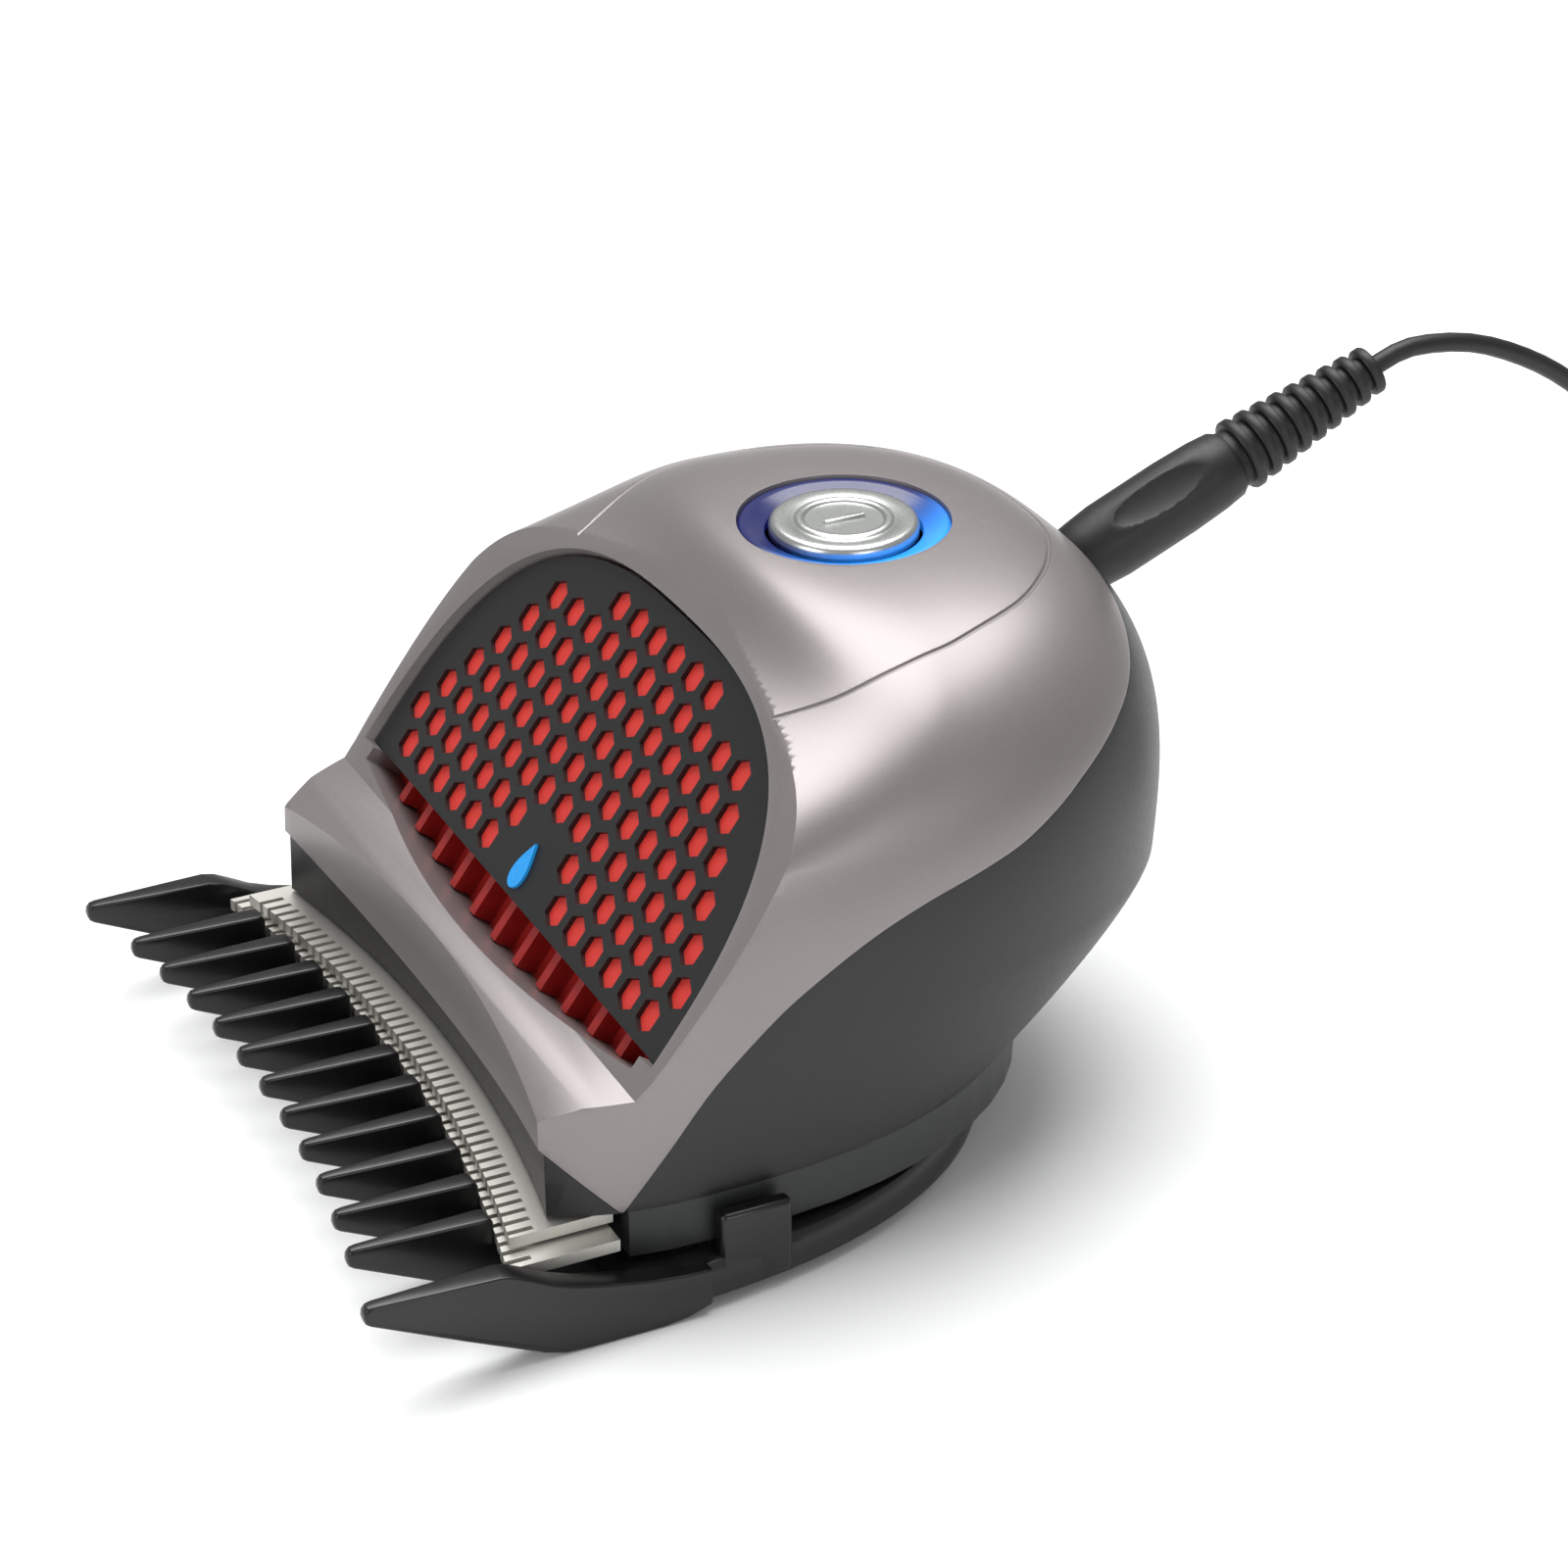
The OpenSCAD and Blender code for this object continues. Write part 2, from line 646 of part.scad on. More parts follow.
function route_point(route, k, t) =
    let (n = len(route) - 1, a = route[max(k - 1, 0)], b = route[k], c = route[min(k + 1, n)], d = route[min(k + 2, n)])
    0.5 * (2 * b + (c - a) * t + (2 * a - 5 * b + 4 * c - d) * t * t + (3 * b - a - 3 * c + d) * t * t * t);
function route_line(route, steps) = concat(
    [for (k = [0 : len(route) - 2]) for (j = [0 : steps - 1]) route_point(route, k, j / steps)],
    [route[len(route) - 1]]
);
function unit(v) = v / norm(v);
// Round tube along a smooth route
module tube(route, d, steps) {
    line = route_line(route, steps);
    n = len(line) - 1;
    loft([for (i = [0 : n])
        let (along = unit(line[min(i + 1, n)] - line[max(i - 1, 0)]), side = unit([1, 0, 0] - along.x * along), up = cross(along, side))
        [for (j = [0 : cord_sides - 1]) let (a = -360 * j / cord_sides) line[i] + d / 2 * (cos(a) * side - sin(a) * up)]]);
}
module cord() {
    color("#2a2a2a") tube(cord_route, cord_d, cord_steps);
}
module cord_coil() {
    color("#2a2a2a") translate([0, coil_y, 0]) rotate_extrude() translate([coil_mid - coil_half, 0]) square([2 * coil_half, coil_h]);
}
module cord_tail() {
    color("#2a2a2a") tube(tail_route, cord_d, cord_steps);
}
module coil_tie() {
    color("#1a1a1a") translate([0, coil_y + coil_mid, 0]) difference() {
        translate([-2, -coil_half - 0.8, 0]) cube([4, 2 * coil_half + 1.6, coil_h + 0.8]);
        translate([-3, -coil_half - 0.3, -1]) cube([6, 2 * coil_half + 0.35, coil_h + 1]);
    }
}
module usb_body() {
    color("#242424") translate([usb_x, usb_y, usb_z]) {
        translate([-5.6, -17, -usb_z]) cube([11.2, 13, 6]);
        translate([0, -0.2, 0]) rotate([90, 0, 0]) cylinder(r = 2, h = 3.8 + eps);
    }
}
module usb_shell() {
    color("#c4c4c2") translate([usb_x, usb_y - 29, usb_z]) difference() {
        translate([-6, 0, -2.25]) cube([12, 12, 4.5]);
        translate([-5.7, -1, -1.95]) cube([11.4, 12, 3.9]);
    }
}

upper_shell();
lower_shell();
base_frame();
blade_cover();
hex_grille();
grille_backing();
rinse_insert();
drop_badge();
light_ring();
power_button();
switch_plunger();
tact_switch();
circuit_board();
ring_leds();
board_parts();
charge_jack();
battery_cell();
battery_tabs();
battery_cradle();
motor_can();
motor_end_cap();
motor_shaft();
eccentric();
motor_mount();
motor_screws();
housing_screws();
blade_screws();
drive_lever();
moving_blade();
fixed_blade();
tension_spring();
guard_comb();
plug_body();
plug_barrel();
cord();
cord_coil();
cord_tail();
coil_tie();
usb_body();
usb_shell();
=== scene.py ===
"""Hair clipper on its guard comb: finishes, smooth shells and the charging lead at its real length."""
import math
import bmesh
import bpy
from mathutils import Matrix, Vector


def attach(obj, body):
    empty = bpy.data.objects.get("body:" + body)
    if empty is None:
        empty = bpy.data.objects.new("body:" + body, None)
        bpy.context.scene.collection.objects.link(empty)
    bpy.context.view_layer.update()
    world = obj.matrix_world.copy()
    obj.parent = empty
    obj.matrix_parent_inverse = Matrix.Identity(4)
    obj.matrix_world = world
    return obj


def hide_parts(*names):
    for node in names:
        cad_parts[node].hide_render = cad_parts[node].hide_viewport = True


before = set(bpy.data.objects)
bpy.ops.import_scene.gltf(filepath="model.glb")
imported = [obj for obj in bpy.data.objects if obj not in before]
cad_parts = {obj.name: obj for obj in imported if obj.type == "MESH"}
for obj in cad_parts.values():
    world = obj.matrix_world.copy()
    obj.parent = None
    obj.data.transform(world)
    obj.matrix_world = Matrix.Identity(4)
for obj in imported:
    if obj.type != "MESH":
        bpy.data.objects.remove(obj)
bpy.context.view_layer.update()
MM = 0.001

# Camera: a long lens from the clipper's right, looking down on the blade corner
cam_data = bpy.data.cameras.new("camera")
cam_data.lens, cam_data.sensor_width = 98.37, 36
cam = bpy.data.objects.new("camera", cam_data)
bpy.context.scene.collection.objects.link(cam)
camera_back = Vector((0.7932, -0.3841, 0.4726)).normalized()
cam.location = Vector((0, 12.65, 29.0)) * MM + camera_back * 0.4186
cam.rotation_euler = camera_back.to_track_quat("Z", "Y").to_euler()
cam_data.clip_start, cam_data.clip_end = 0.01, 20
bpy.context.scene.camera = cam


def deselect():
    bpy.ops.object.select_all(action="DESELECT")


def linear(hex_text, alpha=1.0):
    value = [int(hex_text[i:i + 2], 16) / 255 for i in (1, 3, 5)]
    return tuple(c / 12.92 if c <= 0.04045 else ((c + 0.055) / 1.055) ** 2.4 for c in value) + (alpha,)


# Materials -----------------------------------------------------------------
def finish_of(name, base, second, rough, rough_spread=0.08, metal=0.0, speck_mm=0.12, bump=0.02,
              cloud_mm=12.0,
              coat=0.0, stretch=(1, 1, 1), emission=0.0):
    """A surface with slow colour drift, and fine grain in its colour, roughness and bump."""
    m = bpy.data.materials.new(name)
    m.use_nodes = True
    nt = m.node_tree
    nt.nodes.clear()
    n, link = nt.nodes.new, nt.links.new
    out, shader = n("ShaderNodeOutputMaterial"), n("ShaderNodeBsdfPrincipled")
    coords = n("ShaderNodeTexCoord")
    mapping = n("ShaderNodeMapping")
    mapping.inputs["Scale"].default_value = stretch
    cloud, speck = n("ShaderNodeTexNoise"), n("ShaderNodeTexNoise")
    cloud.inputs["Scale"].default_value = 1000 / cloud_mm
    cloud.inputs["Detail"].default_value = 3
    speck.inputs["Scale"].default_value = 1000 / speck_mm / 4
    speck.inputs["Detail"].default_value = 4
    mix = n("ShaderNodeMix")
    mix.data_type = "RGBA"
    mix.inputs[6].default_value = linear(base)
    mix.inputs[7].default_value = linear(second)
    blend_factor = n("ShaderNodeMath")
    blend_factor.operation = "MULTIPLY_ADD"
    blend_factor.inputs[1].default_value = 0.55
    half = n("ShaderNodeMath")
    half.operation = "MULTIPLY"
    half.inputs[1].default_value = 0.45
    ramp = n("ShaderNodeMapRange")
    ramp.inputs["To Min"].default_value = max(rough - rough_spread, 0.02)
    ramp.inputs["To Max"].default_value = min(rough + rough_spread, 1)
    bumper = n("ShaderNodeBump")
    bumper.inputs["Strength"].default_value = 0.35
    bumper.inputs["Distance"].default_value = bump * MM
    link(coords.outputs["Object"], mapping.inputs["Vector"])
    link(mapping.outputs["Vector"], cloud.inputs["Vector"])
    link(mapping.outputs["Vector"], speck.inputs["Vector"])
    link(cloud.outputs["Fac"], half.inputs[0])
    link(speck.outputs["Fac"], blend_factor.inputs[0])
    link(half.outputs[0], blend_factor.inputs[2])
    link(blend_factor.outputs[0], mix.inputs[0])
    link(speck.outputs["Fac"], ramp.inputs["Value"])
    link(speck.outputs["Fac"], bumper.inputs["Height"])
    colour = mix.outputs[2]
    link(colour, shader.inputs["Base Color"])
    link(ramp.outputs[0], shader.inputs["Roughness"])
    link(bumper.outputs["Normal"], shader.inputs["Normal"])
    shader.inputs["Metallic"].default_value = metal
    if coat:
        shader.inputs["Coat Weight"].default_value = coat
        shader.inputs["Coat Roughness"].default_value = 0.18
    if emission:
        link(colour, shader.inputs["Emission Color"])
        shader.inputs["Emission Strength"].default_value = emission
    link(shader.outputs[0], out.inputs[0])
    return m


# Sprayed metallic paint on ABS: soft broad highlights under a thin clear coat
silver = finish_of("silver_metallic_paint", "#857f7f", "#958f8e", 0.4, 0.05, metal=0.6, speck_mm=0.08,
                   bump=0.003, coat=0.12)
# Moulded ABS and nylon with a satin skin: dark, with dull highlights
charcoal = finish_of("charcoal_satin_plastic", "#141415", "#1b1b1c", 0.42, 0.07, speck_mm=0.15, bump=0.01)
band_plastic = finish_of("band_satin_plastic", "#222324", "#2a2c2d", 0.42, 0.08, speck_mm=0.2, bump=0.012)
black_plastic = finish_of("black_satin_plastic", "#111112", "#19191a", 0.38, 0.07, speck_mm=0.2, bump=0.01)
comb_plastic = finish_of("comb_gloss_plastic", "#0b0b0c", "#121213", 0.3, 0.05, speck_mm=0.3, bump=0.006)
# Moulded red ABS, seen through the grille and in the slot
red_plastic = finish_of("red_plastic", "#c42c26", "#d33b33", 0.45, 0.08, speck_mm=0.2, bump=0.012)
deep_red = finish_of("deep_red_plastic", "#8e1614", "#a82320", 0.4, 0.08, speck_mm=0.2, bump=0.012)
# Clear blue acrylic: both blues glow a little by emission, which is painted light, and the ring's colour and glow,
# brighter towards one side, are painted light set further down
badge_blue_painted_glow = finish_of("blue_badge", "#0f7cc4", "#2a9be4", 0.28, 0.05, speck_mm=0.2, bump=0.004,
                       emission=0.15)
lens_blue_painted_glow = finish_of("blue_lens_painted_glow", "#0a1a5c", "#1450c8", 0.25, 0.05, speck_mm=0.4, cloud_mm=16,
                      bump=0.003, coat=0.2, emission=0.18)
# Turned and ground metals: the grain runs one way and stretches the highlights
cap_metal = finish_of("brushed_cap", "#bfc2bf", "#d6d8d5", 0.3, 0.1, metal=1.0, speck_mm=0.12, bump=0.01,
                      stretch=(1, 14, 1))
blade_steel = finish_of("ground_blade_steel", "#c4c2bb", "#dddbd4", 0.42, 0.08, metal=0.8, speck_mm=0.1,
                        bump=0.008, stretch=(12, 1, 1))
screw_steel = finish_of("plated_steel", "#93938f", "#b0b0ac", 0.34, 0.1, metal=1.0, speck_mm=0.1,
                        bump=0.006)
motor_steel = finish_of("motor_can_steel", "#a2a6a8", "#b8bcbe", 0.3, 0.1, metal=1.0, speck_mm=0.15,
                        bump=0.008)
# Acetal, board and cell: out of sight, plain and clean
ivory = finish_of("ivory_acetal", "#dcd6c4", "#e8e3d4", 0.4, 0.08, speck_mm=0.2, bump=0.01)
board_green = finish_of("board_mask", "#17552f", "#1f6a3a", 0.36, 0.08, speck_mm=0.3, bump=0.01)
chip_black = finish_of("chip_epoxy", "#141416", "#1e1e21", 0.55, 0.08, speck_mm=0.1, bump=0.01)
led_white = finish_of("led_lens", "#d8e2ff", "#eef3ff", 0.3, 0.05, speck_mm=0.2, bump=0.004)
cell_wrap = finish_of("cell_shrink_film", "#247a4c", "#2f9260", 0.3, 0.06, speck_mm=0.4, bump=0.012)
# Soft PVC of the lead, and the plated metals of its plugs
rubber = finish_of("lead_rubber", "#0d0d0d", "#151515", 0.5, 0.08, speck_mm=0.15, bump=0.012)
brass = finish_of("contact_brass", "#b9a465", "#cfbb80", 0.28, 0.08, metal=1.0, speck_mm=0.1, bump=0.006)
plug_steel = finish_of("plug_nickel", "#b4b4b2", "#cacac8", 0.26, 0.08, metal=1.0, speck_mm=0.12,
                       bump=0.006)

def painted_glow_across(material, place, direction, dark, bright, strength):
    """Painted light: colour and emission that brighten towards one side of a part, by place on the part."""
    nt = material.node_tree
    shader = next(n for n in nt.nodes if n.type == "BSDF_PRINCIPLED")
    coords, centred, project = (nt.nodes.new(t) for t in ("ShaderNodeTexCoord", "ShaderNodeVectorMath",
                                                          "ShaderNodeVectorMath"))
    centred.operation, project.operation = "SUBTRACT", "DOT_PRODUCT"
    centred.inputs[1].default_value = Vector(place) * MM
    project.inputs[1].default_value = Vector(direction).normalized()
    spread, pick = nt.nodes.new("ShaderNodeMapRange"), nt.nodes.new("ShaderNodeMix")
    spread.interpolation_type = "SMOOTHSTEP"
    spread.inputs["From Min"].default_value, spread.inputs["From Max"].default_value = -0.002, 0.0115
    pick.data_type = "RGBA"
    pick.inputs[6].default_value, pick.inputs[7].default_value = linear(dark), linear(bright)
    link = nt.links.new
    link(coords.outputs["Object"], centred.inputs[0])
    link(centred.outputs[0], project.inputs[0])
    link(project.outputs["Value"], spread.inputs["Value"])
    link(spread.outputs[0], pick.inputs[0])
    link(pick.outputs[2], shader.inputs["Base Color"])
    link(pick.outputs[2], shader.inputs["Emission Color"])
    shader.inputs["Emission Strength"].default_value = strength


BUTTON_Y = 19
# Painted light: the ring glows and its colour brightens towards +x, the side facing the camera
painted_glow_across(lens_blue_painted_glow, (0, BUTTON_Y, 56), (0.95, 0.25, 0), "#0a1248", "#2489f5", 0.9)
node_finish = {
    "base_frame": band_plastic, "blade_cover": black_plastic, "grille_backing": red_plastic, "rinse_insert": deep_red,
    "switch_plunger": ivory, "tact_switch": chip_black, "circuit_board": board_green,
    "ring_leds": led_white, "board_parts": chip_black, "charge_jack": black_plastic, "battery_cell": cell_wrap,
    "battery_tabs": screw_steel, "battery_cradle": band_plastic, "motor_can": motor_steel, "motor_end_cap": ivory,
    "motor_shaft": screw_steel, "eccentric": ivory, "motor_mount": band_plastic, "motor_screws": screw_steel,
    "housing_screws": screw_steel, "blade_screws": screw_steel, "drive_lever": ivory, "moving_blade": blade_steel,
    "fixed_blade": blade_steel, "tension_spring": screw_steel, "plug_barrel": brass, "usb_shell": plug_steel,
    "coil_tie": black_plastic, "guard_comb": comb_plastic, "hex_grille": black_plastic, "upper_shell": silver,
    "lower_shell": charcoal, "drop_badge": badge_blue_painted_glow, "light_ring": lens_blue_painted_glow, "power_button": cap_metal,
    "plug_body": rubber, "usb_body": rubber, "cord": rubber, "cord_coil": rubber, "cord_tail": rubber,
}
for node_name, finish in node_finish.items():
    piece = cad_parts[node_name]
    piece.data.materials.clear()
    piece.data.materials.append(finish)


# The lead ------------------------------------------------------------------
cord_route = [
    (0, 78.05, 61), (0, 82.5, 62.4), (0, 89.6, 61.6), (0, 96.5, 58.8), (0, 102.5, 55), (0, 108, 50),
    (0, 113, 43), (-0.5, 117, 35), (-1.5, 120.5, 26.5), (-3, 124, 18), (-5, 128.5, 10),
    (-7.5, 134.5, 4.2), (-10, 141.5, 1.6), (-11.6, 149, 1), (-12, 157.7, 1)]
tail_route = [(12, 157.7, 1), (12, 155, 1), (12.4, 150, 1.4), (13.2, 145, 2.4), (14, 139.5, 3)]
COIL_Y, COIL_MID, CORD_R = 168.0, 12.0, 1.0
COIL_TURNS, TURN_STEPS, COIL_COLUMNS = 13, 16, (0.0, 2.0, -2.0)
LAYER_RISE, COIL_LAST_Z = 1.95, 6.9


def coil_place(turn):
    """Radius and height of a turn: three side by side, and the next layer laid back over them."""
    layer, column = divmod(turn, 3)
    order = COIL_COLUMNS if layer % 2 == 0 else COIL_COLUMNS[::-1]
    return COIL_MID + order[column], 1.0 + min(layer, 3) * LAYER_RISE


def coil_points():
    """Thirteen flat-laid turns, three side by side and four high, clockwise seen from above."""
    points = []
    for turn in range(COIL_TURNS):
        (r0, z0), (r1, z1) = coil_place(turn), coil_place(turn + 1)
        if turn == COIL_TURNS - 1:
            r0, r1, z0, z1 = COIL_MID, COIL_MID, COIL_LAST_Z, COIL_LAST_Z
        for k in range(TURN_STEPS):
            t = k / TURN_STEPS
            step_over = 0 if t < 0.75 else (t - 0.75) / 0.25
            step_over = step_over * step_over * (3 - 2 * step_over)
            r, z = r0 + (r1 - r0) * step_over, z0 + (z1 - z0) * step_over
            a = math.pi - 2 * math.pi * t
            points.append((r * math.cos(a), COIL_Y + r * math.sin(a), z))
    # Last half turn comes down and leaves towards the far end
    for k in range(9):
        t = k / 8
        a = math.pi - math.pi * t
        points.append((COIL_MID * math.cos(a), COIL_Y + COIL_MID * math.sin(a), COIL_LAST_Z))
    points += [(12.1, 163.5, 6.2), (12.1, 160.0, 4.6)]
    return points


lead_points = cord_route + [(-12, 163, 1)] + coil_points() + [(12.1, 156.5, 3.0)] + tail_route[2:]
lead_curve = bpy.data.curves.new("charging_lead", "CURVE")
lead_curve.dimensions = "3D"
spline = lead_curve.splines.new("POLY")


def smooth_line(points, steps):
    line, n = [], len(points) - 1
    for k in range(n):
        a, b, c, d = (Vector(points[max(min(i, n), 0)]) for i in (k - 1, k, k + 1, k + 2))
        for j in range(steps):
            t = j / steps
            line.append(0.5 * (2 * b + (c - a) * t + (2 * a - 5 * b + 4 * c - d) * t * t
                               + (3 * b - a - 3 * c + d) * t ** 3))
    return line + [Vector(points[-1])]


lead_line = smooth_line(lead_points, 3)
spline.points.add(len(lead_line) - 1)
for knot, place in zip(spline.points, lead_line):
    knot.co = (*(place * MM), 1)
lead_curve.bevel_depth = CORD_R * MM
lead_curve.bevel_resolution = 4
lead_curve.use_fill_caps = True
lead = bpy.data.objects.new("charging_lead", lead_curve)
bpy.context.scene.collection.objects.link(lead)
lead_curve.materials.append(rubber)
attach(lead, "lead")
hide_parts("cord", "cord_coil", "cord_tail")


# Shell form: the same dome of superellipse rings as the part's ----------------
SHELL_W, SHELL_TOP, SHELL_REAR = 77.2, 56.4, 47.25
WAIST_Z, SILL_Z, CROWN_Y = 26.0, 10.5, 18.75
FRONT_LIP, FRONT_REACH, FRONT_FALL, FRONT_LIMIT = 18, 84, 14.6, 60
MID_FRONT, MID_TRAVEL = -12.25, 31.0
FULLNESS = 2.4
BLADE_ARC = 165


def power(v, p):
    return math.copysign(abs(v) ** p, v)


def crown(z, top=SHELL_TOP):
    """Share of the full width that the dome keeps at a height."""
    return 1.0 if z <= WAIST_Z else max(1 - ((z - WAIST_Z) / (top - WAIST_Z)) ** 3, 0) ** (1 / 3)


def front_at(k):
    """How far forward the dome reaches, from its share of the full width."""
    k = max(k, 0)
    return CROWN_Y - min(FRONT_LIP * math.sqrt(k) + FRONT_REACH * k ** FRONT_FALL, FRONT_LIMIT)


def ring_at(z, count, inset=0.0):
    """One level of the dome as a superellipse, its middle moving back as it rises."""
    s = 0 if z >= WAIST_Z else min((WAIST_Z - z) / (WAIST_Z - SILL_Z), 1)
    k = crown(z)
    half = SHELL_W / 2 * k if z >= WAIST_Z else SHELL_W / 2 - 1.6 * s ** 1.6
    rear = CROWN_Y + (SHELL_REAR - CROWN_Y) * k ** 0.8 if z >= WAIST_Z else SHELL_REAR - 14.5 * s ** 1.25
    front = front_at(k)
    mid = MID_FRONT + MID_TRAVEL * max(z - SILL_Z, 0) / (SHELL_TOP - SILL_Z)
    ring = []
    for i in range(count):
        a = 2 * math.pi * i / count
        c, n = math.cos(a), math.sin(a)
        reach = max((rear if n > 0 else 2 * mid - front) - mid - inset, 0.3)
        ring.append(Vector((max(half - inset, 0.3) * power(c, 2 / FULLNESS),
                            mid + reach * power(n, 2 / FULLNESS), z)))
    return ring


def mesh_piece(name, verts, faces, material):
    mesh = bpy.data.meshes.new(name)
    mesh.from_pydata([tuple(Vector(v) * MM) for v in verts], [], faces)
    mesh.materials.append(material)
    obj = bpy.data.objects.new(name, mesh)
    bpy.context.scene.collection.objects.link(obj)
    return obj


def activate(obj):
    deselect()
    obj.select_set(True)
    bpy.context.view_layer.objects.active = obj


def apply_modifier(obj, kind, **values):
    activate(obj)
    modifier = obj.modifiers.new(kind.lower(), kind)
    for key, value in values.items():
        setattr(modifier, key, value)
    bpy.ops.object.modifier_apply(modifier=modifier.name)


def cut_with(obj, cutter, operation="DIFFERENCE"):
    apply_modifier(obj, "BOOLEAN", operation=operation, solver="EXACT", object=cutter)
    bpy.data.objects.remove(cutter, do_unlink=True)


def tidy_mesh(obj, merge=0.00001):
    bm = bmesh.new()
    bm.from_mesh(obj.data)
    bmesh.ops.remove_doubles(bm, verts=bm.verts, dist=merge)
    bmesh.ops.recalc_face_normals(bm, faces=bm.faces)
    bm.to_mesh(obj.data)
    bm.free()


def smooth_by_angle(obj, degrees=35):
    activate(obj)
    bpy.ops.object.shade_smooth_by_angle(angle=math.radians(degrees))


def loft(name, rings, material):
    """A closed skin over rings of equal count."""
    n, last = len(rings[0]), len(rings) - 1
    verts = [p for r in rings for p in r]
    faces = [[k * n + i, k * n + (i + 1) % n, (k + 1) * n + (i + 1) % n,
              (k + 1) * n + i] for k in range(last) for i in range(n)]
    faces += [list(range(n))[::-1], [last * n + i for i in range(n)]]
    return mesh_piece(name, verts, faces, material)


def dome(name, material, inset=0.0, low=SILL_Z, count=160, skirt=18, cap=44):
    """The whole casing as one closed dome, drawn in from its outer face by an inset."""
    top = SHELL_TOP - inset
    zs = [SILL_Z + (WAIST_Z - SILL_Z) * i / skirt for i in range(skirt)]
    zs += [WAIST_Z + (SHELL_TOP - WAIST_Z) * math.sin(math.pi / 2 * i / cap) ** 0.8 for i in range(cap)]
    rings = []
    if low < SILL_Z:
        rings.append([Vector((p.x, p.y, low)) for p in ring_at(SILL_Z, count, inset)])
    for z in zs:
        zz = z if z <= WAIST_Z else WAIST_Z + (z - WAIST_Z) * (top - WAIST_Z) / (SHELL_TOP - WAIST_Z)
        rings.append([Vector((p.x, p.y, zz)) for p in ring_at(z, count, inset)])
    return loft(name, rings, material)


def across(name, outline, material, half=46.0):
    """A side outline, as y and z, swept over the width."""
    n = len(outline)
    verts = [(-half, y, z) for y, z in outline] + [(half, y, z) for y, z in outline]
    faces = [list(range(n)), [n + i for i in range(n)][::-1]]
    faces += [[(i + 1) % n, i, n + i, n + (i + 1) % n] for i in range(n)]
    obj = mesh_piece(name, verts, faces, material)
    tidy_mesh(obj)
    return obj


FACE_Y, FACE_Z, FACE_ANGLE = -16.95, 24.1, math.radians(53)


def face_place(x, s, out):
    """A point on the leaning front face: x across, s up its slope, out along its normal."""
    return Vector((x, FACE_Y + s * math.cos(FACE_ANGLE) - out * math.sin(FACE_ANGLE),
                   FACE_Z + s * math.sin(FACE_ANGLE) + out * math.cos(FACE_ANGLE)))


def face_prism(name, outline, low, high, material, grow_high=0.0):
    n = len(outline)
    cx, cs = sum(p[0] for p in outline) / n, sum(p[1] for p in outline) / n
    verts = [face_place(x, s, low) for x, s in outline]
    for x, s in outline:
        d = Vector((x - cx, s - cs))
        d = d.normalized() * grow_high
        verts.append(face_place(x + d.x, s + d.y, high))
    faces = [list(range(n))[::-1], [n + i for i in range(n)]] + [[i, (i + 1) % n, n + (i + 1) % n,
        n + i] for i in range(n)]
    obj = mesh_piece(name, verts, faces, material)
    tidy_mesh(obj)
    return obj


def grille_outline(grow=0.0, steps=72):
    """The grille's arch, with its foot on the level line of the face."""
    line = []
    for i in range(steps + 1):
        a = math.pi * i / steps
        line.append(((35 + grow) * power(math.cos(a), 2 / 2.9),
                     (31.7 + grow) * max(math.sin(a), 0) ** (2 / 2.9)))
    return line


def slot_outline(steps=32):
    """The mouth below the grille: straight above, bowed below."""
    half = 33.0
    line = [(half, 0.4), (-half, 0.4)]
    return line + [(-half + 2 * half * i / steps, -1.6 - 3.2 * (1 - (2 * i / steps - 1) ** 2))
                   for i in range(steps + 1)]


def smooth_split():
    """The parting line between the two shells, seen from the side, front to rear."""
    knots = [(-21, 10.3), (-17, 16.2), (-12.5, 22.6), (-7, 28), (-2.5, 31.2), (3, 34.2), (8.5, 36.3),
             (14.5, 37.9),
             (19, 39.2), (23.5, 41.2), (27, 43), (32, 45.3), (36, 47.2), (39, 49.4), (43, 53.5), (47,
                 58), (60, 70)]
    return [(p.x, p.y) for p in smooth_line([(y, z, 0) for y, z in knots], 5)]


def round_cutter(name, radius, x, y, low, high, material, segments=160):
    deselect()
    bpy.ops.mesh.primitive_cylinder_add(vertices=segments, radius=radius * MM, depth=(high - low) * MM,
                                        location=(x * MM, y * MM, (low + high) / 2 * MM))
    obj = bpy.context.object
    obj.name = name
    bpy.ops.object.transform_apply(location=True, rotation=True, scale=True)
    obj.data.materials.append(material)
    return obj


PLUG_SLOPE = math.radians(23.5)
plug_axis = Vector((0, math.cos(PLUG_SLOPE), math.sin(PLUG_SLOPE)))
plug_origin = Vector((0, 44.55, 46.4))


def plug_rod(name, radius, low, high, material):
    deselect()
    middle = (plug_origin + plug_axis * (low + high) / 2) * MM
    bpy.ops.mesh.primitive_cylinder_add(vertices=96, radius=radius * MM, depth=(high - low) * MM,
                                        location=middle,
                                        rotation=(PLUG_SLOPE - math.pi / 2, 0, 0))
    obj = bpy.context.object
    obj.name = name
    bpy.ops.object.transform_apply(location=True, rotation=True, scale=True)
    obj.data.materials.append(material)
    return obj


def cavity(name, material):
    """The hollow of the casing, which leaves a 2 mm wall."""
    inner = dome(name, material, inset=2.0, low=9.0, count=128, skirt=12, cap=30)
    front = [(-18.5, 8), (-18.85, 15.5)]
    top = face_place(0, 45, -3.6)
    keep = across("cavity_front", front + [(top.y, top.z), (80, 60), (80, 8)], material)
    cut_with(inner, keep, "INTERSECT")
    return inner


